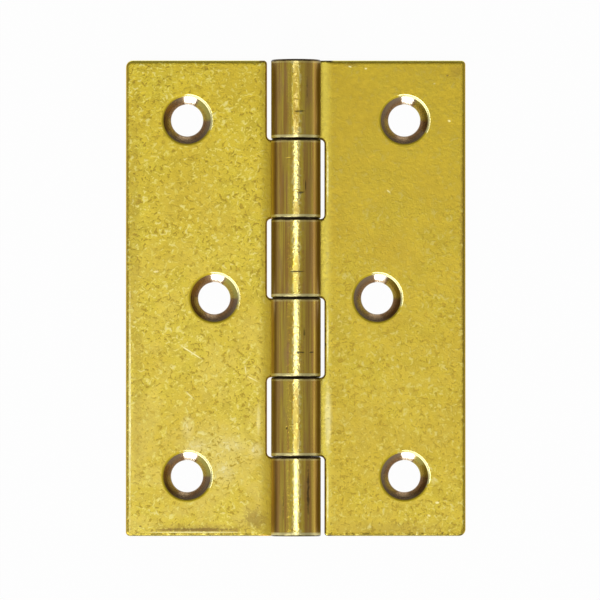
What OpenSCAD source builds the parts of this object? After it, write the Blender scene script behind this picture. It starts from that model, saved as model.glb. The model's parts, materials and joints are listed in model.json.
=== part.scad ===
// Narrow butt hinge: two pressed sheet leaves, rolled into knuckles around one pin.
// It lies open and flat on its back. The pin runs along Y, the leaves spread along X,
// and Z points up, out of the faces that the screw heads sink into.
// The origin is on the back plane, under the middle of the pin.

/* [Hinge] */
// Length of the hinge along the pin
hinge_len = 70; // [55:1:100]
// Width across both leaves when they lie open
open_w = 50; // [44:1:80]
// Thickness of the sheet that the leaves are pressed from
sheet_t = 1.5; // [1.3:0.1:1.8]

/* [Leaf outline] */
// Corner radius on the free edge, at the end where the leaf is notched
notched_corner_r = 1.0; // [0.5:0.1:2]
// Corner radius on the free edge, at the end where the leaf has its own knuckle
knuckle_corner_r = 0.6; // [0.3:0.1:2]
// Corner radius beside the barrel, at the end where the leaf is notched
slot_corner_r = 0.5; // [0.3:0.1:1]
// Fillet radius in the corners of the notches
notch_fillet_r = 0.6; // [0.3:0.1:1]
// Rounding that the press leaves along the outer edges of the sheet
edge_r = 0.25; // [0.1:0.05:0.4]

/* [Barrel] */
// Number of knuckles, shared equally between the leaves
knuckle_n = 6; // [4, 6, 8]
// Gap between neighbouring knuckles, along the pin
knuckle_gap = 0.15; // [0.1:0.05:0.6]
// Gap between the barrel and the notch beside it
slot_w = 0.65; // [0.45:0.05:1.5]
// Gap at the seam, between the end of the roll and the face of the leaf
seam_gap = 0.15; // [0.05:0.05:0.4]

/* [Pin] */
// Diameter of the pin
pin_d = 4.2; // [3:0.1:5]
// Radial running clearance between the pin and the knuckles
pin_clear = 0.05; // [0.02:0.01:0.1]
// How far each end of the pin sits inside the barrel
pin_inset = 0.3; // [0:0.1:1]
// Chamfer around the ends of the pin
pin_chamfer = 0.4; // [0.1:0.1:1]

/* [Screw holes] */
// Diameter of the hole through the leaf
hole_d = 4.7; // [4.3:0.1:5]
// Diameter of the countersink at the face of the leaf
sink_d = 7.1; // [6:0.1:7.5]
// Full angle of the countersink
sink_angle = 90; // [80:1:100]
// Distance of the two outer holes from the ends of the leaf
hole_from_end = 8.8; // [6:0.1:14]
// Distance of the two outer holes from the free edge of the leaf
hole_from_edge = 9; // [6:0.1:10]
// How much nearer the pin the middle hole lies than the outer ones
middle_hole_in = 4; // [0:0.1:4]

/* [Hidden] */
$fn = 96;

// Amount by which a cutter runs past the surface that it cuts
past = 1;
leaf_w = open_w / 2;
bore_r = pin_d / 2 + pin_clear;
barrel_r = bore_r + sheet_t;
notch_x = barrel_r + slot_w;
pitch = hinge_len / knuckle_n;
// Angle from +X over the top to the end of the roll, which stops seam_gap above the leaf
roll_end_a = 180 + asin((bore_r - seam_gap) / barrel_r);
// The roll starts straight below the pin
roll_start_a = 90;
sink_depth = (sink_d - hole_d) / 2 / tan(sink_angle / 2);
outer_hole_x = leaf_w - hole_from_edge;
outer_hole_y = hinge_len / 2 - hole_from_end;

// The left leaf owns every second knuckle, counted from the -Y end
own_knuckles = [for (i = [0 : 2 : knuckle_n - 1]) i];

// Where a knuckle starts and stops along the pin. The outermost ones end flush with the leaf.
function knuckle_low(i) = -hinge_len / 2 + i * pitch + (i == 0 ? 0 : knuckle_gap / 2);
function knuckle_high(i) =
    -hinge_len / 2 + (i + 1) * pitch - (i == knuckle_n - 1 ? 0 : knuckle_gap / 2);

// Rectangle from [x0, y0] to [x1, y1]
module span(x0, y0, x1, y1) {
    translate([x0, y0]) square([x1 - x0, y1 - y0]);
}

// Cuts the square corner at the origin, whose sides run along +X and +Y, back to radius r
module corner_cut(r) {
    difference() {
        span(-past, -past, r, r);
        translate([r, r]) circle(r);
    }
}

// Section across a whole leaf, with all four edges rounded
module plate_section(low, high) {
    span(low, edge_r, high, sheet_t - edge_r);
    span(low + edge_r, 0, high - edge_r, sheet_t);
    for (x = [low + edge_r, high - edge_r], y = [edge_r, sheet_t - edge_r])
        translate([x, y]) circle(edge_r);
}

// Outline of the flat part of the left leaf, seen from above
module plate_outline() {
    half = hinge_len / 2;
    difference() {
        span(-leaf_w, -half, -notch_x, half);
        translate([-leaf_w, half]) mirror([0, 1]) corner_cut(notched_corner_r);
        translate([-leaf_w, -half]) corner_cut(knuckle_corner_r);
        translate([-notch_x, half]) rotate(180) corner_cut(slot_corner_r);
    }
}

// Flat part of the left leaf, with its long and short edges rounded
module plate() {
    half = hinge_len / 2;
    intersection() {
        linear_extrude(sheet_t) plate_outline();
        translate([0, half + past, 0]) rotate([90, 0, 0]) linear_extrude(hinge_len + 2 * past)
            plate_section(-leaf_w, past);
        translate([-leaf_w - past, 0, 0]) rotate([90, 0, 90]) linear_extrude(leaf_w + 2 * past)
            plate_section(-half, half);
    }
}

// Section across a knuckle: the sheet leaves the leaf, then rolls up and over the pin
module knuckle_section() {
    far = 3 * barrel_r;
    end = [cos(roll_end_a), sin(roll_end_a)];
    span(-notch_x - notch_fillet_r, 0, 0, sheet_t);
    translate([0, barrel_r]) difference() {
        circle(barrel_r);
        circle(bore_r);
        polygon([[0, 0], far * end, [-far, -far], [0, -far]]);
    }
}

// Cutter that rounds the outer edge at the upper end of a knuckle, along the tab and the roll
module knuckle_end_cut() {
    translate([-3 * notch_x, 0, 0]) rotate([90, 0, 90]) linear_extrude(3 * notch_x)
        mirror([1, 0]) corner_cut(edge_r);
    translate([0, 0, barrel_r]) rotate([-90, 0, 0]) rotate([0, 0, -roll_end_a])
        rotate_extrude(angle = roll_end_a + roll_start_a)
            translate([barrel_r, 0]) rotate(180) corner_cut(edge_r);
}

// One knuckle, rounded at both ends
module knuckle(low, high) {
    difference() {
        translate([0, high, 0]) rotate([90, 0, 0]) linear_extrude(high - low) knuckle_section();
        translate([0, high, 0]) knuckle_end_cut();
        translate([0, low, 0]) mirror([0, 1, 0]) knuckle_end_cut();
    }
}

// Fillet where the side of a knuckle meets the leaf. side is 1 on its +Y side and -1 on the other.
module notch_fillet(y, side) {
    translate([-notch_x, y, 0]) mirror([0, side > 0 ? 0 : 1, 0]) linear_extrude(sheet_t)
        difference() {
            span(-past / 2, -edge_r, notch_fillet_r, notch_fillet_r);
            translate([notch_fillet_r, notch_fillet_r]) circle(notch_fillet_r);
        }
}

// Countersunk hole through the leaf
module screw_hole(x, y) {
    translate([x, y, -past]) cylinder(h = sheet_t + 2 * past, d = hole_d);
    translate([x, y, sheet_t - sink_depth])
        cylinder(h = 2 * sink_depth, d1 = hole_d, d2 = 2 * sink_d - hole_d);
}

module pressed_leaf() {
    difference() {
        union() {
            plate();
            for (i = own_knuckles) {
                knuckle(knuckle_low(i), knuckle_high(i));
                if (i > 0) notch_fillet(knuckle_low(i), -1);
                notch_fillet(knuckle_high(i), 1);
            }
        }
        for (side = [-1, 1]) screw_hole(-outer_hole_x, side * outer_hole_y);
        screw_hole(-outer_hole_x + middle_hole_in, 0);
    }
}

module left_leaf() {
    color([0.80, 0.70, 0.25]) pressed_leaf();
}

// Both leaves come from the same press tool, so the right one is the left one turned half round
module right_leaf() {
    color([0.77, 0.66, 0.21]) rotate([0, 0, 180]) pressed_leaf();
}

module hinge_pin() {
    len = hinge_len - 2 * pin_inset;
    tip_d = pin_d - 2 * pin_chamfer;
    color([0.58, 0.48, 0.22]) translate([0, 0, barrel_r]) rotate([90, 0, 0]) {
        cylinder(h = len - 2 * pin_chamfer, d = pin_d, center = true);
        for (side = [0, 1]) mirror([0, 0, side])
            translate([0, 0, len / 2 - pin_chamfer])
                cylinder(h = pin_chamfer, d1 = pin_d, d2 = tip_d);
    }
}

left_leaf();
right_leaf();
hinge_pin();
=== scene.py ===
"""A narrow butt hinge: two pressed, rolled and brass plated leaves on one pin, lying open.

Lengths are in millimetres until a mesh or a lamp is made. The frame gives the overall sizes.
A leaf is made as its press makes it: a flat blank with rounded edges and sunk holes is drawn
first, in the sheet's own coordinates, and its tabs are then rolled round the pin.
In those coordinates s runs from the free edge (negative) over the foot of the roll (zero) to
the end of the roll, y runs along the pin, and w runs through the sheet, from its back (zero).
"""

import json
import math

import bpy
import numpy as np
from mathutils import Matrix, Vector, geometry


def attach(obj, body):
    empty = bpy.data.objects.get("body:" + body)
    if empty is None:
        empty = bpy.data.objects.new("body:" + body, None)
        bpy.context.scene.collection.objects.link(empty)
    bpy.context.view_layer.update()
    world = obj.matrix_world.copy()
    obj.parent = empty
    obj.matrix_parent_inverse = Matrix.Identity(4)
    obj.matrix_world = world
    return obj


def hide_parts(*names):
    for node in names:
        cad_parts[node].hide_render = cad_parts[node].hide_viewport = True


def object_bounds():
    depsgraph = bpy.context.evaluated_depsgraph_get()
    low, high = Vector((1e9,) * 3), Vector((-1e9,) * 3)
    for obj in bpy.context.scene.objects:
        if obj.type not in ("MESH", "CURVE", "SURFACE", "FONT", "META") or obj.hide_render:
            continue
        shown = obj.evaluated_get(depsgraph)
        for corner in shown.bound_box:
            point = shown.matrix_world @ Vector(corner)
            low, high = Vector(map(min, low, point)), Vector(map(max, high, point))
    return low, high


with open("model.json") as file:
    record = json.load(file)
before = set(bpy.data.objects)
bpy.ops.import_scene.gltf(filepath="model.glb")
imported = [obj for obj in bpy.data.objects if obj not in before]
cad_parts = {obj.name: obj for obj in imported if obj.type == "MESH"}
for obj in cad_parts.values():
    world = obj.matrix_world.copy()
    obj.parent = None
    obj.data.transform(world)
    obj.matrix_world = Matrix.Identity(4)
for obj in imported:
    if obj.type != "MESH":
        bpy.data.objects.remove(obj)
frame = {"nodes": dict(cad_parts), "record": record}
cad_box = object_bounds()

MM = 0.001
record = frame["record"]
mounts = {mount["name"]: mount for mount in record["mounts"]}

# Sizes that the frame gives
low, high = (np.array(corner) / MM for corner in cad_box)
HINGE_LEN = high[1] - low[1]
LEAF_W = (high[0] - low[0]) / 2
BARREL_R = record["behaviour"]["joints"][0]["pos_m"][2] / MM
OUTER_HOLE_X = mounts["right_outer_screws"]["pos_m"][0] / MM
OUTER_HOLE_Y = mounts["right_outer_screws"]["dims"]["spacing_y_mm"] / 2
MIDDLE_HOLE_X = mounts["right_middle_screw"]["pos_m"][0] / MM
HOLE_R = mounts["right_middle_screw"]["dims"]["r_mm"]

# Sizes of the pressing
SHEET_T = 1.5
KNUCKLES = 6
# The sheared ends of the knuckles all but touch, which keeps light out of the seams
KNUCKLE_GAP = 0.02
SLOT_W = 0.57
SEAM_GAP = 0.15
SINK_R = 3.55
NOTCHED_CORNER_R = 1.0
KNUCKLE_CORNER_R = 0.6
SLOT_CORNER_R = 0.5
NOTCH_FILLET_R = 0.6
ROLL_CORNER_R = 0.45

PITCH = HINGE_LEN / KNUCKLES
NOTCH_X = BARREL_R + SLOT_W
BORE_R = BARREL_R - SHEET_T
MEAN_R = BARREL_R - SHEET_T / 2
ROLL_SWEEP = 1.5 * math.pi + math.asin((BORE_R - SEAM_GAP) / BARREL_R)
ROLL_LEN = MEAN_R * ROLL_SWEEP
# Shallow dip of the face beside the barrel: how far from the pin it ends, and its depth
DIP_END = 6.0
DIP_DEPTH = 0.06

# Spacing of the mesh on the plate, along the roll, across the knuckles and along the outline
PLATE_STEP = 0.6
ROLL_STEP = 0.2
KNUCKLE_STEP = 0.4
OUTLINE_STEP = 0.4
# Number of steps round a corner of the outline, and the share of its radius that a point of it
# may be moved inwards
ARC_STEPS = 6
ARC_ROOM = 0.9
# Distance of the inner points of the mesh from the edges of the blank
GRID_MARGIN = 0.9
# Kind of triangulation that keeps what lies inside the outline, and its tolerance
INSIDE_OUTLINE = 1
WELD_DISTANCE = 1e-5
# Flats that the rolling tool leaves along a knuckle: their numbers round it, and their depth
WAVE_TURNS = (5, 8, 11, 15)
WAVE_DEPTH = 0.004

# Section of a cut edge from the back to the face, as (w, how far it lies inside the outline)
EDGE_SECTION = [
    (0, 0.36), (0, 0.26), (0.015, 0.16), (0.06, 0.07), (0.14, 0.02), (0.26, 0),
    (SHEET_T - 0.30, 0), (SHEET_T - 0.20, 0.03), (SHEET_T - 0.13, 0.09), (SHEET_T - 0.075, 0.18),
    (SHEET_T - 0.035, 0.29), (SHEET_T - 0.012, 0.41), (SHEET_T, 0.54), (SHEET_T, 0.66),
]
# Share of that distance that is left along the notches, which the barrel guards from wear, and
# how far from their line this holds in full and where it ends
NOTCH_SHARE = 0.5
NOTCH_FADE = (0.2, 0.8)
# Depth of a countersink. The form tool leaves it a little flatter than a right angle.
SINK_DEPTH = 1.17
SINK_W = SHEET_T - SINK_DEPTH


def cone_ring(depth):
    """The w and the radius of a countersink at a depth below the face."""
    return SHEET_T - depth, SINK_R - depth * (SINK_R - HOLE_R) / SINK_DEPTH


# Section of a screw hole from the back to the face, as (w, radius)
HOLE_SECTION = [
    (0, HOLE_R + 0.28), (0, HOLE_R + 0.14), (0.03, HOLE_R + 0.05), (0.09, HOLE_R),
    (SINK_W - 0.06, HOLE_R), (SINK_W + 0.02, HOLE_R + 0.02), cone_ring(1.08), cone_ring(1.00),
    cone_ring(0.22), (SHEET_T - 0.14, SINK_R - 0.12), (SHEET_T - 0.09, SINK_R - 0.07),
    (SHEET_T - 0.055, SINK_R), (SHEET_T - 0.027, SINK_R + 0.08), (SHEET_T - 0.009, SINK_R + 0.17),
    (SHEET_T, SINK_R + 0.28), (SHEET_T, SINK_R + 0.45),
]
# How many of the last steps of that section are the rim, which has a painted highlight on one side
RIM_STEPS = 4
HOLE_SIDES = 72


# The blank

def knuckle_span(i):
    """Low and high end of knuckle i along the pin, counted from the -Y end."""
    start = -HINGE_LEN / 2 + i * PITCH + (KNUCKLE_GAP / 2 if i else 0)
    end = -HINGE_LEN / 2 + (i + 1) * PITCH - (KNUCKLE_GAP / 2 if i < KNUCKLES - 1 else 0)
    return start, end


def blank_corners():
    """Corners of the left leaf's blank as (s, y, radius), counterclockwise."""
    half = HINGE_LEN / 2
    corners = [(-LEAF_W, -half, KNUCKLE_CORNER_R)]
    for i in range(0, KNUCKLES, 2):
        start, end = knuckle_span(i)
        if i:
            corners.append((-NOTCH_X, start, NOTCH_FILLET_R))
        corners.append((ROLL_LEN, start, ROLL_CORNER_R))
        corners.append((ROLL_LEN, end, ROLL_CORNER_R))
        corners.append((-NOTCH_X, end, NOTCH_FILLET_R))
    corners.append((-NOTCH_X, half, SLOT_CORNER_R))
    corners.append((-LEAF_W, half, NOTCHED_CORNER_R))
    return corners


def walk_outline(corners, step):
    """Points round a closed outline with arcs at its corners, their outward normals, and how
    far each may be moved inwards."""
    points, normals, room, arcs = [], [], [], []
    count = len(corners)
    for i in range(count):
        before, here, after = (np.array(corners[(i + k) % count][:2], float) for k in (-1, 0, 1))
        radius = corners[i][2]
        u = (before - here) / np.linalg.norm(before - here)
        v = (after - here) / np.linalg.norm(after - here)
        half_angle = math.acos(np.clip(np.dot(u, v), -1, 1)) / 2
        convex = u[0] * v[1] - u[1] * v[0] < 0
        centre = here + (u + v) / np.linalg.norm(u + v) * radius / math.sin(half_angle)
        reach = radius / math.tan(half_angle)
        arcs.append((here + u * reach, here + v * reach, centre, convex))
    for i, (start, end, centre, convex) in enumerate(arcs):
        a0 = math.atan2(*(start - centre)[::-1])
        a1 = math.atan2(*(end - centre)[::-1])
        turn = (a1 - a0 + math.pi) % (2 * math.pi) - math.pi
        radius = np.linalg.norm(start - centre)
        for k in range(ARC_STEPS + 1):
            angle = a0 + turn * k / ARC_STEPS
            spoke = np.array((math.cos(angle), math.sin(angle)))
            points.append(centre + spoke * radius)
            normals.append(spoke if convex else -spoke)
            room.append(radius * ARC_ROOM if convex else math.inf)
        nxt = arcs[(i + 1) % count][0]
        run = nxt - end
        length = np.linalg.norm(run)
        outward = np.array((run[1], -run[0])) / length
        pieces = max(1, round(length / step))
        for k in range(1, pieces):
            points.append(end + run * k / pieces)
            normals.append(outward)
            room.append(math.inf)
    return np.array(points), np.array(normals), np.array(room)


def screw_holes():
    """Centres of the left leaf's three screw holes."""
    return [(-OUTER_HOLE_X, -OUTER_HOLE_Y), (-MIDDLE_HOLE_X, 0), (-OUTER_HOLE_X, OUTER_HOLE_Y)]


def grid_points():
    """Points inside the blank, clear of its edges and holes."""
    half = HINGE_LEN / 2
    margin = GRID_MARGIN
    patches = [(np.arange(-LEAF_W + margin, -NOTCH_X - margin, PLATE_STEP),
                np.arange(-half + margin, half - margin / 2, PLATE_STEP))]
    for i in range(0, KNUCKLES, 2):
        start, end = knuckle_span(i)
        rows = round((end - start - 2 * margin) / KNUCKLE_STEP)
        patches.append((np.arange(-NOTCH_X, ROLL_LEN - margin, ROLL_STEP),
                        np.linspace(start + margin, end - margin, rows)))
    points = np.vstack([np.stack(np.meshgrid(s, y), -1).reshape(-1, 2) for s, y in patches])
    for centre in screw_holes():
        points = points[np.hypot(*(points - centre).T) > HOLE_SECTION[-1][1] + margin / 3]
    return points


# The mesh of a leaf

class SheetMesh:
    """Gathers the vertices of a sheet in its own coordinates, and its faces by material."""

    def __init__(self):
        self.vertices = []
        self.faces = []
        self.slots = []

    def add_ring(self, points, w):
        first = len(self.vertices)
        self.vertices.extend((p[0], p[1], w) for p in points)
        return list(range(first, len(self.vertices)))

    def join(self, lower, upper, slot, flip=False):
        """Quads between two rings."""
        count = len(lower)
        for k in range(count):
            quad = [lower[k], lower[(k + 1) % count], upper[(k + 1) % count], upper[k]]
            self.faces.append(quad[::-1] if flip else quad)
            self.slots.append(slot)

    def fill(self, outline, holes, inner, w, slot, flip=False):
        """Triangles inside an outline ring, outside the hole rings, through inner points."""
        rings = [outline] + holes
        indices = [v for ring in rings for v in ring] + self.add_ring(inner, w)
        flat = [Vector(self.vertices[v][:2]) for v in indices]
        edges, start = [], 0
        for ring in rings:
            edges += [(start + k, start + (k + 1) % len(ring)) for k in range(len(ring))]
            start += len(ring)
        boundary = [list(range(len(outline)))]
        result = geometry.delaunay_2d_cdt(flat, edges, boundary, INSIDE_OUTLINE, WELD_DISTANCE)
        out, _, triangles, source, _, _ = result
        reach = self.hole_reach(w)
        for triangle in triangles:
            middle = sum((out[v] for v in triangle), Vector((0, 0))) / 3
            if any(math.dist(middle, centre) < reach for centre in screw_holes()):
                continue
            corners = [indices[source[v][0]] for v in triangle]
            self.faces.append(corners[::-1] if flip else corners)
            self.slots.append(slot)

    @staticmethod
    def hole_reach(w):
        """Radius of the outermost ring of a hole on the back or on the face."""
        return (HOLE_SECTION[-1] if w else HOLE_SECTION[0])[1] * math.cos(math.pi / HOLE_SIDES)


PLATE, EDGE, SINK, RIM = range(4)


def leaf_blank():
    """The left leaf's blank as a closed mesh in the sheet's coordinates."""
    sheet = SheetMesh()
    outline, normals, room = walk_outline(blank_corners(), OUTLINE_STEP)
    share = np.interp(np.abs(outline[:, 0] + NOTCH_X), NOTCH_FADE, (NOTCH_SHARE, 1))
    rings = [sheet.add_ring(outline - normals * np.minimum(inset * share, room)[:, None], w)
             for w, inset in EDGE_SECTION]
    for k in range(len(rings) - 1):
        is_wall = EDGE_SECTION[k][1] == EDGE_SECTION[k + 1][1] == 0
        sheet.join(rings[k], rings[k + 1], EDGE if is_wall else PLATE)
    angles = np.linspace(0, 2 * math.pi, HOLE_SIDES, endpoint=False)
    circle = np.stack([np.cos(angles), np.sin(angles)], -1)
    back_rings, face_rings = [], []
    for centre in screw_holes():
        steps = [sheet.add_ring(circle * radius + centre, w) for w, radius in HOLE_SECTION]
        for k in range(len(steps) - 1):
            is_rim = len(steps) - 2 - RIM_STEPS <= k < len(steps) - 2
            is_face = k in (0, len(steps) - 2)
            slot = RIM if is_rim else PLATE if is_face else SINK
            sheet.join(steps[k], steps[k + 1], slot, flip=True)
        back_rings.append(steps[0])
        face_rings.append(steps[-1])
    inner = grid_points()
    sheet.fill(rings[0], back_rings, inner, 0, PLATE, flip=True)
    sheet.fill(rings[-1], face_rings, inner, SHEET_T, PLATE)
    return sheet


def roll(blank, wave):
    """Places of the blank's vertices once its tabs are rolled round the pin."""
    s, y, w = blank.T
    angle = np.maximum(s, 0) / MEAN_R
    radius = BARREL_R - w + wave(angle, y) * np.clip(s / MEAN_R, 0, 1)
    x = np.where(s > 0, radius * np.sin(angle), s)
    z = np.where(s > 0, BARREL_R - radius * np.cos(angle), w - dip(s) * w / SHEET_T)
    return np.stack([x, y, z], -1)


def dip(s):
    """Depth by which the rolling tool has sunk the face of the sheet beside the barrel."""
    inner = np.clip(-s / BARREL_R, 0, 1)
    outer = np.clip((DIP_END + s) / (DIP_END - BARREL_R), 0, 1)
    return DIP_DEPTH * (3 * inner ** 2 - 2 * inner ** 3) * outer ** 2


def knuckle_wave(seed):
    """Slight flats that the rolling tool leaves along a knuckle, different on each one."""
    rng = np.random.default_rng(seed)
    phases = rng.uniform(0, 2 * math.pi, (KNUCKLES, len(WAVE_TURNS)))

    def wave(angle, y):
        index = np.clip(((y + HINGE_LEN / 2) // PITCH).astype(int), 0, KNUCKLES - 1)
        total = np.zeros_like(angle)
        for k, turn in enumerate(WAVE_TURNS):
            total += np.sin(turn * angle + phases[index, k]) * WAVE_TURNS[0] / turn
        return WAVE_DEPTH * total

    return wave


def make_leaf(name, node, body, turned, seed, materials):
    """One leaf, as an object that stands for its CAD node."""
    sheet = leaf_blank()
    blank = np.array(sheet.vertices, float)
    places = roll(blank, knuckle_wave(seed))
    if turned:
        places[:, :2] *= -1
    mesh = bpy.data.meshes.new(name)
    mesh.from_pydata((places * MM).tolist(), [], sheet.faces)
    mesh.polygons.foreach_set("material_index", sheet.slots)
    mesh.polygons.foreach_set("use_smooth", [True] * len(mesh.polygons))
    own = mesh.attributes.new("blank", "FLOAT_VECTOR", "POINT")
    own.data.foreach_set("vector", blank.ravel())
    mesh.validate()
    mesh.update()
    leaf = bpy.data.objects.new(name, mesh)
    bpy.context.scene.collection.objects.link(leaf)
    for material in materials:
        mesh.materials.append(material)
    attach(leaf, body)
    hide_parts(node)
    return leaf


# Materials

class Nodes:
    """Short calls that add and link the nodes of one material."""

    def __init__(self, name):
        self.material = bpy.data.materials.new(name)
        self.material.use_nodes = True
        self.tree = self.material.node_tree
        self.shader = self.tree.nodes["Principled BSDF"]

    def new(self, kind, inputs=None, **settings):
        node = self.tree.nodes.new(kind)
        for key, value in settings.items():
            setattr(node, key, value)
        for key, value in (inputs or {}).items():
            if isinstance(value, bpy.types.NodeSocket):
                self.tree.links.new(value, node.inputs[key])
            else:
                node.inputs[key].default_value = value
        return node

    def math(self, operation, a, b=0.0, c=0.0):
        return self.new("ShaderNodeMath", {0: a, 1: b, 2: c}, operation=operation).outputs[0]

    def ramp(self, value, low_in, high_in, low_out=0.0, high_out=1.0):
        """value carried from one range to another, clamped, with soft ends."""
        node = self.new("ShaderNodeMapRange", {"Value": value, "From Min": low_in,
                        "From Max": high_in, "To Min": low_out, "To Max": high_out},
                        interpolation_type="SMOOTHSTEP")
        return node.outputs["Result"]

    def along(self, y, ends):
        """A value that changes from the low to the high end of the hinge."""
        return self.ramp(y, -HINGE_LEN / 2, HINGE_LEN / 2, *ends)

    def blend(self, amount, a, b):
        node = self.new("ShaderNodeMix", data_type="RGBA")
        for key, value in ((0, amount), (6, a), (7, b)):
            if isinstance(value, bpy.types.NodeSocket):
                self.tree.links.new(value, node.inputs[key])
            else:
                node.inputs[key].default_value = value
        return node.outputs[2]

    def mix(self, amount, a, b):
        return self.new("ShaderNodeMix", {0: amount, 2: a, 3: b}).outputs[0]

    def noise(self, place, scale, detail=2.0, rough=0.5, distortion=0.0):
        node = self.new("ShaderNodeTexNoise", {"Vector": place, "Scale": scale, "Detail": detail,
                        "Roughness": rough, "Distortion": distortion})
        return node.outputs["Fac"]

    def times(self, a, b):
        return self.math("MULTIPLY", a, b)

    def stretch(self, place, factors):
        node = self.new("ShaderNodeVectorMath", {0: place, 1: factors}, operation="MULTIPLY")
        return node.outputs[0]

    def blank_place(self):
        """The sheet's own coordinates, in millimetres."""
        return self.new("ShaderNodeAttribute", attribute_name="blank").outputs["Vector"]

    def surface_place(self):
        """The piece's own coordinates, in millimetres."""
        place = self.new("ShaderNodeTexCoord").outputs["Object"]
        return self.stretch(place, (1 / MM, 1 / MM, 1 / MM))

    def marks(self, place, level, rows, core, ragged):
        """Strongest of several ellipses, soft from their core outwards, with ragged edges."""
        height, reach_z = level
        total = 0.0
        for x, y, half_length, half_width, turn, strength in rows:
            inputs = {"Vector": place, "Location": (x, y, height),
                      "Rotation": (0, 0, math.radians(turn)),
                      "Scale": (half_length, half_width, reach_z)}
            local = self.new("ShaderNodeMapping", inputs, vector_type="TEXTURE").outputs[0]
            reach = self.new("ShaderNodeVectorMath", {0: local}, operation="LENGTH").outputs["Value"]
            mark = self.ramp(self.math("ADD", reach, ragged), 1.0, core, 0.0, strength)
            total = self.math("MAXIMUM", total, mark)
        return total

    def facing(self, direction):
        """Cosine of the angle between the way a surface leans and a level direction."""
        normal = self.new("ShaderNodeTexCoord").outputs["Normal"]
        level = self.new("ShaderNodeVectorMath", {0: self.stretch(normal, (1, 1, 0))},
                         operation="NORMALIZE").outputs[0]
        return self.new("ShaderNodeVectorMath", {0: level, 1: direction},
                        operation="DOT_PRODUCT").outputs["Value"]

    def bump(self, height, depth, normal=None):
        """Normal for a height field, where depth is in metres for a height of one."""
        inputs = {"Height": height, "Distance": depth, "Strength": 1.0}
        if normal is not None:
            inputs["Normal"] = normal
        return self.new("ShaderNodeBump", inputs).outputs["Normal"]

    def plug(self, **sockets):
        for key, value in sockets.items():
            key = key.replace("_", " ")
            if isinstance(value, bpy.types.NodeSocket):
                self.tree.links.new(value, self.shader.inputs[key])
            else:
                self.shader.inputs[key].default_value = value


# Distances round the roll from its crown: where the painted shade on its left and its right starts
# and is full, where it fades again, and where the right side is painted browner as shade
LEFT_FLANK_SHADE = (1.7, 2.6)
RIGHT_FLANK_SHADE = (2.4, 3.4)
LEFT_FLANK_SHADE_END = (2.9, 3.3)
FLANK_SHADE_END = (4.4, 5.4)
SHADED_RIGHT_SIDE = (0.4, 1.6)
# The same for the painted highlight on the crown and its brighter middle, which fade outwards
CROWN_HIGHLIGHT = (1.1, 0.5)
CROWN_HIGHLIGHT_CORE = (0.52, 0.28)
# Distances from the ends of a knuckle at which the painted highlight on its edge and the painted
# shade in its seams end
LIP_HIGHLIGHT = (0.60, 0.50)
LOW_SEAM_SHADE = (0.24, 0.15)
HIGH_SEAM_SHADE = (0.35, 0.25)
# Places along s where the painted light of the dip starts, and where the painted shade along the
# notches does
DIP_LIGHT_START = 0.4 - DIP_END
NOTCH_BAND = (-NOTCH_X - 1.5, -NOTCH_X - 0.8)
# Heights in the sheet between which the face's worn edges and the painted light on them begin
UPPER_HALF = (0.5, 0.8)

BRASS = (0.745, 0.58, 0.042, 1)
BRASS_DEEP = (0.68, 0.515, 0.04, 1)
BRASS_OLIVE = (0.70, 0.57, 0.048, 1)
BRASS_LIT = (0.95, 0.82, 0.13, 1)
BRASS_PALE = (0.86, 0.75, 0.30, 1)
# Also the colour of painted highlights and glints
BRASS_WHITE = (0.96, 0.88, 0.42, 1)
BRASS_DARK = (0.42, 0.31, 0.02, 1)
BRASS_SHADE = (0.44, 0.285, 0.02, 1)
PIT_BROWN = (0.30, 0.215, 0.017, 1)
GLARE_WHITE = (0.97, 0.93, 0.66, 1)
ROLLED_OLIVE = (0.82, 0.61, 0.09, 1)
ROLLED_BROWN = (0.58, 0.33, 0.07, 1)
ROLLED_PINK = (0.60, 0.36, 0.14, 1)
# Tarnish on the cut edges, and the painted shade down the sides of the roll
TARNISH_AND_SHADE = (0.20, 0.11, 0.03, 1)
EDGE_BROWN = (0.78, 0.54, 0.055, 1)
# Painted shade on the edges of the face that face -Y
EDGE_SHADE = (0.19, 0.15, 0.02, 1)
# Also the painted shade in the knuckles' seams and along the right leaf's notches
SEAM_BLACK = (0.05, 0.03, 0.012, 1)
# Smudges, and painted shade along the edges of the face
SMUDGE_AND_SHADE = (0.28, 0.18, 0.035, 1)
SINK_GREY = (0.30, 0.21, 0.11, 1)
SINK_BROWN = (0.25, 0.15, 0.07, 1)
# A painted olive reflection and a painted highlight in the countersinks
SINK_OLIVE = (0.50, 0.44, 0.07, 1)
SINK_BRIGHT = (0.92, 0.86, 0.74, 1)
PIN_LIGHT = (0.5, 0.38, 0.1, 1)
PIN_DARK = (0.36, 0.26, 0.07, 1)
# Ways that a countersink faces where it has a painted olive reflection, where it has a painted
# highlight, and where its rim has a painted highlight
SINK_SHEEN_SIDE = (-0.87, -0.49, 0)
SINK_HIGHLIGHT_SIDE = (-0.156, -0.988, 0)
RIM_HIGHLIGHT_SIDE = (-0.77, -0.64, 0)
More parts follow.
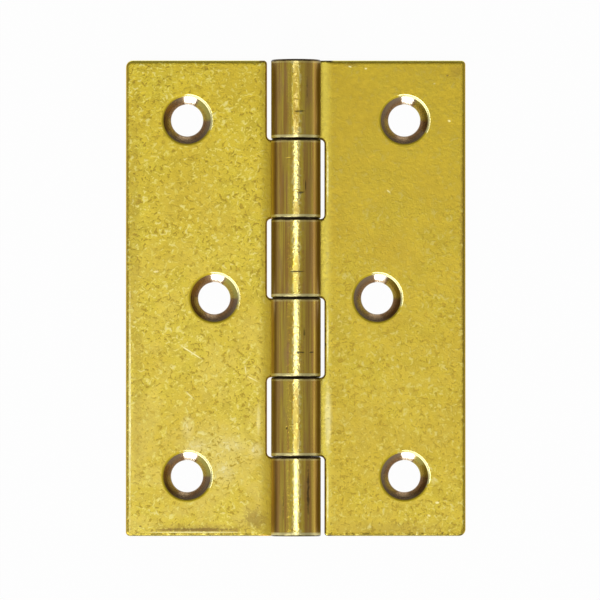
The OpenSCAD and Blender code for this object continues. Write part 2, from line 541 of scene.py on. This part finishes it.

# Worn marks and painted light, as rows of x, y, half length, half width, turn in degrees and
# strength.
# They lie on the upper face of a leaf, or on its knuckles. A level is a height and a reach.
FACE_LEVEL = (SHEET_T, 0.8)
KNUCKLE_LEVEL = (2 * BARREL_R - 0.3, 3.0)
LEFT_WEAR_AND_LIGHT = {
    # Colour of the painted shade along the notches, next to the barrel
    "notch": (0.36, 0.23, 0.04, 1),
    # Scratches, and painted highlights along the left and bottom edges
    "scratches_and_highlights": [(-24.42, -16.0, 0.22, 21.0, 0, 0.85), (-15.0, -34.45, 8.5, 0.13, 0, 0.7),
                  (-15.5, -7.9, 2.5, 0.14, -33, 1.0), (-15.6, -14.3, 1.0, 0.14, -43, 0.8),
                  (-7.4, -10.5, 0.9, 0.12, -81, 0.8), (-6.35, -11.9, 1.05, 0.13, -28, 0.7),
                  (-5.5, -17.9, 0.35, 2.8, 0, 0.35), (-20.6, 3.9, 0.5, 0.18, 5, 0.7)],
    # Painted glare, a highlight on the lower part of the face
    "glare": [(-14.6, -22.0, 3.6, 2.4, 15, 1.0), (-5.9, -22.4, 2.0, 2.0, 0, 1.0),
              (-10.6, -25.4, 3.6, 4.0, 0, 0.85), (-9.6, -21.6, 4.8, 2.2, -8, 0.9),
              (-15.9, -19.2, 1.6, 3.0, 0, 0.85), (-11.5, -23.0, 9.0, 8.0, 0, 0.55)],
    # Smudges, and painted shade along the bottom and left edges
    "smudges_and_shade": [(-6.0, -32.6, 2.2, 2.4, 35, 0.6), (-14.6, -34.06, 8.4, 0.46, 0, 1.0),
                (-22.9, -33.6, 0.28, 0.22, 0, 0.9), (-8.8, -34.0, 0.8, 0.3, 0, 0.4),
                (-14.6, -33.9, 9.0, 0.9, 0, 0.35), (-23.9, 10.0, 1.3, 27.0, 0, 0.22),
                (-23.3, -14.0, 0.9, 20.0, 0, 0.2)],
    "knuckles": [(0.75, 15.44, 0.85, 0.19, 5, 0.75), (1.38, 16.5, 0.14, 1.0, 0, 0.7),
                 (0.62, -8.03, 0.70, 0.19, 0, 0.8), (2.24, -8.03, 0.48, 0.16, 0, 0.8),
                 (1.2, -5.2, 0.2, 1.0, 0, 0.6), (1.75, -28.5, 0.26, 4.4, 0, 0.7),
                 (-1.9, -30.5, 0.12, 2.8, 0, 0.5), (-1.1, 20.4, 0.5, 0.12, 0, 0.5)],
    "dull": [(0.0, 12.8, 0.6, 1.6, 0, 0.7)],
}
RIGHT_WEAR_AND_LIGHT = {
    # Colour of the painted shade along the notches, next to the barrel
    "notch": SEAM_BLACK,
    # Scratches, and painted highlights along the edges of the notches
    "scratches_and_highlights": [(4.7, 17.6, 0.16, 5.6, 0, 0.9), (4.7, -5.8, 0.16, 5.6, 0, 0.9),
                  (4.7, -29.2, 0.16, 5.2, 0, 0.9), (4.7, -17.8, 0.55, 6.2, 0, 0.5),
                  (8.0, 34.1, 0.3, 0.15, -25, 0.9), (10.3, 33.8, 0.25, 0.16, 0, 0.8),
                  (22.6, 26.1, 0.25, 0.18, -20, 0.8), (13.7, 15.7, 0.45, 0.14, -38, 0.7),
                  (20.4, 31.6, 0.2, 0.14, 0, 0.6), (20.8, -30.1, 0.4, 0.2, -5, 0.8),
                  (19.6, -32.0, 0.3, 0.2, -20, 0.7)],
    # Painted glare beside the lower hole and beside the barrel
    "glare": [(20.25, -26.9, 0.55, 1.0, 0, 0.6), (17.4, -22.7, 1.1, 0.5, -35, 0.6),
              (4.75, -17.6, 0.95, 6.3, 0, 1.0), (4.6, 6.0, 0.5, 5.0, 0, 0.5)],
    # Dark spots and smudges, and painted shade along the right, top and bottom edges
    "smudges_and_shade": [(22.3, 32.8, 0.24, 0.24, 0, 0.95), (8.2, 34.4, 1.4, 0.5, 0, 0.4),
                (23.6, 33.4, 1.3, 1.5, 0, 0.35), (21.6, -34.5, 0.3, 0.18, 0, 0.9),
                (24.9, 6.0, 0.85, 33.0, 0, 0.6), (14.5, -34.0, 11.0, 1.4, 0, 0.25)],
    "knuckles": [(0.5, 27.34, 0.95, 0.17, 3, 0.7), (0.16, 3.82, 1.35, 0.13, 0, 0.9),
                 (-1.4, -19.1, 0.18, 0.35, 0, 0.8), (1.6, 30.4, 0.12, 2.4, 0, 0.4)],
    "dull": [(0.0, 29.5, 0.7, 6.5, 0, 1.0), (0.0, 3.0, 0.6, 4.5, 0, 0.6),
             (0.0, -18.0, 0.6, 6.5, 0, 0.7)],
}


class SheetFields:
    """Coordinates and noises that the colours of one plated sheet share."""

    def __init__(self, n, seed, lean):
        blank = n.blank_place()
        shift = (seed * 31.0, seed * 17.0, 0)
        self.place = n.new("ShaderNodeVectorMath", {0: blank, 1: shift}).outputs[0]
        self.surface = n.surface_place()
        self.s, self.y, self.w = n.new("ShaderNodeSeparateXYZ", {0: blank}).outputs
        self.rolled = n.ramp(self.s, -1.0, 1.0)
        self.upper = n.ramp(self.w, *UPPER_HALF)
        self.cloud = n.noise(self.place, 0.10, 3)
        self.patch = n.noise(self.place, 0.33, 2)
        self.mottle = n.noise(self.place, 0.6, 2)
        self.grain = n.noise(self.place, 1.55, 2, 0.6, 0.8)
        self.fine = n.noise(self.place, 4.5, 2)
        self.streak = n.noise(n.stretch(self.place, (2.6, 0.05, 1.0)), 1.0, 4, 0.6)
        self.uneven = n.math("SUBTRACT", self.grain, 0.5)
        self.ragged = n.times(self.uneven, 1.6)
        # Distance round the roll from its crown, positive towards -X, and then without its sign
        self.leftward = n.times(n.math("SUBTRACT", self.s, MEAN_R * math.pi), lean)
        self.side = n.math("ABSOLUTE", self.leftward)


def grainy_colour(n, f, glare, strength, pales):
    """Plating of the flat: yellow and olive patches, pale flecks and strokes, and dark pits."""
    # The pale flecks, strokes and sparks are the grain's colour and partly painted glints
    worm = n.math("ABSOLUTE", n.math("SUBTRACT", n.noise(f.place, 0.9, 2, 0.6, 1.0), 0.5))
    stroke = n.times(n.ramp(worm, 0.05, 0.01), n.ramp(f.grain, 0.50, 0.58))
    flecks = n.math("MAXIMUM", n.ramp(f.grain, 0.555, 0.65), n.times(stroke, 0.45))
    sparks = n.ramp(f.grain, 0.60, 0.70, 0.0, 0.5)
    pits = n.ramp(f.grain, 0.425, 0.34)
    shade = n.times(n.ramp(f.mottle, 0.56, 0.36), n.times(strength, 0.3))
    # Pale patches, stronger towards one end of the hinge as painted light, and paler in the painted
    # glare
    pale = n.times(n.along(f.y, pales), n.ramp(f.patch, 0.40, 0.62, 0.3, 1.0))
    pale = n.math("MAXIMUM", pale, n.times(glare, 0.72))
    colour = n.blend(n.ramp(f.patch, 0.35, 0.60), BRASS_OLIVE, BRASS)
    colour = n.blend(n.ramp(f.cloud, 0.40, 0.66), colour, BRASS_DEEP)
    colour = n.blend(shade, colour, BRASS_DARK)
    colour = n.blend(pale, colour, BRASS_PALE)
    colour = n.blend(n.times(flecks, strength), colour, BRASS_LIT)
    colour = n.blend(n.times(n.times(flecks, glare), 0.8), colour, GLARE_WHITE)
    colour = n.blend(n.times(sparks, strength), colour, BRASS_WHITE)
    return n.blend(n.times(pits, strength), colour, PIT_BROWN)


def marked_colour(n, f, colour, tones, dip_light, wear_and_light):
    """The flat's plating, darkened, smudged and scratched, with painted light in its dip and on its
    edges.
    """
    dip_light_colour, dip_light_share = dip_light
    # Smudges with painted shade along the edges, and scratches with painted highlights along them
    smudges_and_shade = n.marks(f.surface, FACE_LEVEL, wear_and_light["smudges_and_shade"], 0.3, f.ragged)
    scratches_and_highlights = n.marks(f.surface, FACE_LEVEL, wear_and_light["scratches_and_highlights"], 0.4, n.times(f.ragged, 0.6))
    # Darker towards BRASS_SHADE; the change of that along the hinge is painted shade
    colour = n.blend(n.along(f.y, tones), colour, BRASS_SHADE)
    # Painted shade in the dip beside the barrel on the left leaf, a painted highlight on the right
    colour = n.blend(n.ramp(f.s, DIP_LIGHT_START, -NOTCH_X, 0.0, dip_light_share), colour, dip_light_colour)
    colour = n.blend(smudges_and_shade, colour, SMUDGE_AND_SHADE)
    return n.blend(scratches_and_highlights, colour, BRASS_WHITE)


def edge_wear_and_light(n, f, colour, notch_colour):
    """The flat's plating worn off in a ragged line along its face's edges, with painted light on
    them.
    """
    front = n.facing((0, -1, 0))
    # Painted shade on the edges that face -Y and a painted highlight on those that face +Y
    edge = n.blend(n.ramp(front, 0.6, 0.9), EDGE_BROWN, EDGE_SHADE)
    edge = n.blend(n.ramp(front, -0.6, -0.9), edge, BRASS_LIT)
    # Painted shade along the notches, next to the barrel
    edge = n.blend(n.ramp(f.s, *NOTCH_BAND), edge, notch_colour)
    height = n.math("ADD", f.w, n.times(f.uneven, 0.2))
    edge_band = n.times(f.upper, n.ramp(height, SHEET_T - 0.02, SHEET_T - 0.09, 0.0, 0.95))
    return n.blend(edge_band, colour, edge)


def rolled_colour(n, f, lean, dull):
    """Plating of the roll: streaks along it, painted shade down its sides, a painted highlight on
    its crown.
    """
    stain = n.noise(n.stretch(f.place, (1.1, 0.16, 1.0)), 1.0, 2)
    rightward = n.times(f.leftward, -1.0)
    # Painted shade: a dark reflection down both sides of the roll
    left_flank_shade = n.ramp(f.leftward, *LEFT_FLANK_SHADE, 0.0, 0.85)
    if lean > 0:
        left_flank_shade = n.times(left_flank_shade, n.ramp(f.leftward, *LEFT_FLANK_SHADE_END, 1.0, 0.2))
    flank_shade = n.math("MAXIMUM", left_flank_shade, n.ramp(rightward, *RIGHT_FLANK_SHADE, 0.0, 0.75))
    flank_shade = n.times(flank_shade, n.ramp(f.side, *FLANK_SHADE_END, 1.0, 0.2))
    # Painted highlight along the crown, whiter in its middle, and weaker where the crown is dull
    highlight_measure = n.math("ADD", f.side, n.times(f.ragged, 0.9))
    core = n.times(n.ramp(highlight_measure, *CROWN_HIGHLIGHT_CORE, 0.0, 0.5), n.math("SUBTRACT", 1.0, dull))
    colour = n.blend(n.ramp(f.streak, 0.41, 0.59), ROLLED_OLIVE, ROLLED_BROWN)
    colour = n.blend(n.ramp(stain, 0.5, 0.68, 0.0, 0.6), colour, ROLLED_PINK)
    # Painted shade: the right side of the roll browner
    colour = n.blend(n.ramp(rightward, *SHADED_RIGHT_SIDE, 0.0, 0.4), colour, ROLLED_BROWN)
    colour = n.blend(flank_shade, colour, TARNISH_AND_SHADE)
    colour = n.blend(n.ramp(highlight_measure, *CROWN_HIGHLIGHT, 0.0, 0.5), colour, BRASS)
    return n.blend(core, colour, BRASS_WHITE)


def knuckle_ends(n, f, lean, colour):
    """Painted highlights on the knuckles' lips and painted shade in their seams, and those
    highlights alone.
    """
    from_low = n.math("MODULO", n.math("ADD", n.times(f.y, lean), HINGE_LEN / 2), PITCH)
    # Painted highlight on the edges at both ends of each knuckle, stronger at its low end
    high_lip_highlight = n.ramp(from_low, PITCH - LIP_HIGHLIGHT[0], PITCH - LIP_HIGHLIGHT[1], 0.0, 0.4)
    lip_highlight = n.math("MAXIMUM", n.ramp(from_low, *LIP_HIGHLIGHT), high_lip_highlight)
    colour = n.blend(n.times(lip_highlight, 0.8), colour, BRASS_WHITE)
    # Painted shade in the seams between the knuckles
    from_low = n.math("ADD", from_low, n.times(f.ragged, 0.12))
    high_seam_shade = n.ramp(from_low, PITCH - HIGH_SEAM_SHADE[0], PITCH - HIGH_SEAM_SHADE[1])
    seam_shade = n.math("MAXIMUM", n.ramp(from_low, *LOW_SEAM_SHADE), high_seam_shade)
    return n.blend(n.times(seam_shade, 0.95), colour, SEAM_BLACK), lip_highlight


def plated_brass(name, seed, tones, sparkles, pales, dip_light, lean, wear_and_light):
    """Plated sheet: a sparkling grain, clouds, streaks along the knuckles, worn marks and painted
    light.

    tones, sparkles and pales are how dark, how grainy and how pale the leaf is at the low and the
    high end of its blank, the change of tone and paleness along it being painted light. dip_light is
    the colour painted in the dip beside the barrel, as shade on the left leaf and a highlight on the
    right, and how much, and lean is 1 if the end of the roll lies towards -X, else -1.
    """
    n = Nodes(name)
    f = SheetFields(n, seed, lean)

    # The flat of the leaf
    # Painted glare: highlights on the face
    glare = n.marks(f.surface, FACE_LEVEL, wear_and_light["glare"], 0.0, n.times(f.ragged, 0.5))
    strength = n.times(n.ramp(f.cloud, 0.62, 0.38, 0.8, 1.1), n.ramp(f.patch, 0.62, 0.40, 0.7, 1.1))
    strength = n.times(strength, n.along(f.y, sparkles))
    flat = grainy_colour(n, f, glare, strength, pales)
    flat = marked_colour(n, f, flat, tones, dip_light, wear_and_light)
    flat = edge_wear_and_light(n, f, flat, wear_and_light["notch"])
    worn = n.times(f.upper, n.ramp(f.w, SHEET_T - 0.002, SHEET_T - 0.03))
    flat_rough = n.math("SUBTRACT", n.ramp(f.grain, 0.3, 0.7, 0.36, 0.44), n.times(worn, 0.18))
    flat_relief = n.ramp(strength, 0.0, 0.8, 0.35, 1.0)

    # The roll
    dull = n.times(n.marks(f.surface, KNUCKLE_LEVEL, wear_and_light["dull"], 0.6, 0.0),
                   n.ramp(f.grain, 0.60, 0.46, 0.4, 1.0))
    dents = n.marks(f.surface, KNUCKLE_LEVEL, wear_and_light["knuckles"], 0.3, f.ragged)
    roll_colour, lip_highlight = knuckle_ends(n, f, lean, rolled_colour(n, f, lean, dull))
    roll_colour = n.blend(dents, roll_colour, SEAM_BLACK)
    roll_rough = n.math("ADD", n.ramp(f.side, 0.8, 3.2, 0.16, 0.28), n.times(f.streak, 0.06))
    roll_rough = n.math("ADD", roll_rough, n.math("ADD", n.times(lip_highlight, 0.1), n.times(dull, 0.3)))
    roll_relief = n.ramp(f.side, 1.4, 0.4, 0.2, 1.1)

    relief = n.math("ADD", n.times(f.grain, 0.75), n.times(f.fine, 0.25))
    relief = n.times(relief, n.mix(f.rolled, flat_relief, roll_relief))
    relief = n.math("SUBTRACT", relief, n.times(dents, 0.5))
    n.plug(Base_Color=n.blend(f.rolled, flat, roll_colour), Metallic=1.0,
           Roughness=n.mix(f.rolled, flat_rough, roll_rough), Normal=n.bump(relief, 0.05 * MM),
           Coat_Weight=0.15, Coat_Roughness=0.25)
    return n.material


def cut_edge(name):
    """Sheared edge of the sheet, plated but rough and darker."""
    n = Nodes(name)
    blank = n.blank_place()
    tear = n.noise(n.stretch(blank, (4.0, 4.0, 0.7)), 1.0, 3)
    colour = n.blend(n.ramp(tear, 0.35, 0.65), BRASS_DARK, TARNISH_AND_SHADE)
    n.plug(Base_Color=colour, Metallic=1.0, Roughness=0.45, Normal=n.bump(tear, 0.06 * MM))
    return n.material


def sunk_brass(name):
    """Countersink and hole: turned smooth, the steel showing through thin plating, and painted
    light.
    """
    n = Nodes(name)
    blank = n.blank_place()
    rings = n.noise(n.stretch(blank, (0.35, 0.35, 7.0)), 1.0, 2)
    # Dark grey and brown: partly the steel under the thin plating, partly painted shade
    colour = n.blend(n.ramp(rings, 0.3, 0.7), SINK_GREY, SINK_BROWN)
    # Painted olive reflection on the side that faces the lamps, painted highlight on the side facing
    # -Y
    colour = n.blend(n.ramp(n.facing(SINK_SHEEN_SIDE), 0.82, 0.92), colour, SINK_OLIVE)
    colour = n.blend(n.ramp(n.facing(SINK_HIGHLIGHT_SIDE), 0.945, 0.975), colour, SINK_BRIGHT)
    n.plug(Base_Color=colour, Metallic=1.0, Roughness=0.22, Coat_Weight=1.0,
           Coat_Roughness=0.15)
    return n.material


def rim_brass(name):
    """Rim of a countersink, with a painted highlight on the side that faces the lamps."""
    n = Nodes(name)
    grain = n.noise(n.blank_place(), 1.6, 2)
    # Painted highlight on the side of the rim that faces the lamps
    highlight_measure = n.math("ADD", n.facing(RIM_HIGHLIGHT_SIDE), n.math("SUBTRACT", grain, 0.5))
    colour = n.blend(n.ramp(highlight_measure, 0.35, 0.65), BRASS_DEEP, BRASS_WHITE)
    n.plug(Base_Color=colour, Metallic=1.0, Roughness=n.ramp(highlight_measure, 0.35, 0.65, 0.42, 0.22))
    return n.material


def pin_wire(name):
    """Drawn wire of the pin, with drawing lines along it."""
    n = Nodes(name)
    lines = n.noise(n.stretch(n.surface_place(), (4.0, 0.06, 4.0)), 1.0, 2)
    colour = n.blend(n.ramp(lines, 0.3, 0.7), PIN_LIGHT, PIN_DARK)
    n.plug(Base_Color=colour, Metallic=1.0, Roughness=0.5, Normal=n.bump(lines, 0.02 * MM))
    return n.material


# Camera

VIEW_PX = 600
PX_PER_MM = 6.786
CAMERA_DISTANCE = 1200
CAMERA_SIDE_DEG = -0.65
CAMERA_LOW_DEG = -0.92
VIEW_CENTRE = Vector((0.64, -0.25, 0))
SENSOR = 36
CLIP_END = 10000


def make_camera():
    """A long lens, nearly straight over the hinge, that frames it as the photograph does."""
    camera = bpy.data.cameras.new("camera")
    camera.sensor_width = SENSOR
    camera.lens = SENSOR * CAMERA_DISTANCE * PX_PER_MM / VIEW_PX
    camera.clip_end = CLIP_END * MM
    item = bpy.data.objects.new("camera", camera)
    bpy.context.scene.collection.objects.link(item)
    side = math.sin(math.radians(CAMERA_SIDE_DEG))
    low_side = math.sin(math.radians(CAMERA_LOW_DEG))
    away = Vector((side, low_side, 1)).normalized()
    item.location = (VIEW_CENTRE + away * CAMERA_DISTANCE) * MM
    right = Vector((0, 1, 0)).cross(away).normalized()
    up = away.cross(right)
    item.rotation_euler = Matrix((right, up, away)).transposed().to_euler()
    bpy.context.scene.camera = item


# Lights, floor and world

# Lamps that are aimed at the hinge, as name, place, width, height and power in watts
LAMPS = [
    ("key", (-20, -70, 1250), 300, 290, 1.15),
    ("front", (-467, -668, 900), 1300, 550, 4.0),
    ("window", (-140, -890, 82), 550, 160, 2.4),
]


def area_lamp(name, place, width, height, power):
    lamp = bpy.data.lights.new(name, "AREA")
    lamp.shape = "RECTANGLE"
    lamp.size = width * MM
    lamp.size_y = height * MM
    lamp.energy = power
    item = bpy.data.objects.new(name, lamp)
    item.location = Vector(place) * MM
    item.rotation_euler = (-Vector(place)).to_track_quat("-Z", "Y").to_euler()
    item.visible_camera = False
    bpy.context.scene.collection.objects.link(item)


# Brightness of the studio by the sine of the height above the horizon
STUDIO_STOPS = [(0.0, 0.50), (0.2, 0.45), (0.4, 0.33), (0.7, 0.36), (0.9, 0.42), (1.0, 0.45)]
# How much darker the studio is towards +X, +Y and +Z
STUDIO_FALL = (0.10, 0.55, 0.0)


def make_world():
    """A dim studio that is a little brighter on the left and in front of the hinge."""
    world = bpy.data.worlds.new("studio")
    bpy.context.scene.world = world
    world.use_nodes = True
    tree = world.node_tree
    background = tree.nodes["Background"]
    direction = tree.nodes.new("ShaderNodeTexCoord").outputs["Generated"]
    split = tree.nodes.new("ShaderNodeSeparateXYZ")
    ramp = tree.nodes.new("ShaderNodeValToRGB")
    tree.links.new(direction, split.inputs[0])
    tree.links.new(split.outputs[2], ramp.inputs[0])
    elements = ramp.color_ramp.elements
    while len(elements) < len(STUDIO_STOPS):
        elements.new(0.5)
    for element, (position, value) in zip(elements, STUDIO_STOPS):
        element.position = position
        element.color = (value, value, value, 1)
    fall = tree.nodes.new("ShaderNodeVectorMath")
    fall.operation = "DOT_PRODUCT"
    fall.inputs[1].default_value = STUDIO_FALL
    tree.links.new(direction, fall.inputs[0])
    side = tree.nodes.new("ShaderNodeMath")
    side.operation = "SUBTRACT"
    side.inputs[0].default_value = 1.0
    tree.links.new(fall.outputs["Value"], side.inputs[1])
    tree.links.new(ramp.outputs[0], background.inputs[0])
    tree.links.new(side.outputs[0], background.inputs[1])


# Half the side of the floor, and how far it lies below the hinge
FLOOR_HALF = 3000
FLOOR_DROP = 0.02
FLOOR_WHITE = (0.8, 0.8, 0.8, 1)
# Share of the floor's white that is seen directly and in reflections, without its shading
FLOOR_GLOW = 0.97


def make_floor():
    """A white floor, which the camera and reflections see as an even white without shading."""
    size = FLOOR_HALF * MM
    mesh = bpy.data.meshes.new("floor")
    mesh.from_pydata([(-size, -size, 0), (size, -size, 0), (size, size, 0), (-size, size, 0)],
                     [], [(0, 1, 2, 3)])
    floor = bpy.data.objects.new("floor", mesh)
    floor.location.z = -FLOOR_DROP * MM
    bpy.context.scene.collection.objects.link(floor)
    material = bpy.data.materials.new("white_floor")
    material.use_nodes = True
    tree = material.node_tree
    tree.nodes.clear()
    paper = tree.nodes.new("ShaderNodeBsdfDiffuse")
    paper.inputs[0].default_value = FLOOR_WHITE
    glow = tree.nodes.new("ShaderNodeEmission")
    path = tree.nodes.new("ShaderNodeLightPath")
    seen = path.outputs["Is Camera Ray"]
    for name in ("Is Glossy Ray", "Is Transmission Ray"):
        either = tree.nodes.new("ShaderNodeMath")
        either.operation = "MAXIMUM"
        tree.links.new(seen, either.inputs[0])
        tree.links.new(path.outputs[name], either.inputs[1])
        seen = either.outputs[0]
    share = tree.nodes.new("ShaderNodeMath")
    share.operation = "MULTIPLY"
    share.inputs[1].default_value = FLOOR_GLOW
    tree.links.new(seen, share.inputs[0])
    mix = tree.nodes.new("ShaderNodeMixShader")
    out = tree.nodes.new("ShaderNodeOutputMaterial")
    tree.links.new(share.outputs[0], mix.inputs[0])
    tree.links.new(paper.outputs[0], mix.inputs[1])
    tree.links.new(glow.outputs[0], mix.inputs[2])
    tree.links.new(mix.outputs[0], out.inputs[0])
    mesh.materials.append(material)


make_camera()
make_world()
make_floor()
for lamp_row in LAMPS:
    area_lamp(*lamp_row)

edge_material = cut_edge("cut_edge")
sink_material = sunk_brass("sunk_brass")
rim_material = rim_brass("rim_brass")
# The dip beside the barrel: painted shade on the left leaf, a painted highlight on the right
left_brass = plated_brass("left_brass", 1, tones=(0.21, 0.19), sparkles=(1.2, 1.2),
                          pales=(0.26, 0.0), dip_light=(BRASS_DARK, 0.8), lean=1, wear_and_light=LEFT_WEAR_AND_LIGHT)
right_brass = plated_brass("right_brass", 2, tones=(0.54, 0.32), sparkles=(0.3, 1.5),
                           pales=(0.0, 0.10), dip_light=(BRASS_LIT, 0.5), lean=-1, wear_and_light=RIGHT_WEAR_AND_LIGHT)
left_materials = [left_brass, edge_material, sink_material, rim_material]
right_materials = [right_brass, edge_material, sink_material, rim_material]
make_leaf("left_leaf_sheet", "left_leaf", "left_body", turned=False, seed=11,
          materials=left_materials)
make_leaf("right_leaf_sheet", "right_leaf", "right_body", turned=True, seed=23,
          materials=right_materials)

pin = frame["nodes"]["hinge_pin"]
pin.data.materials.clear()
pin.data.materials.append(pin_wire("pin_wire"))

bpy.context.scene.view_settings.view_transform = "Standard"
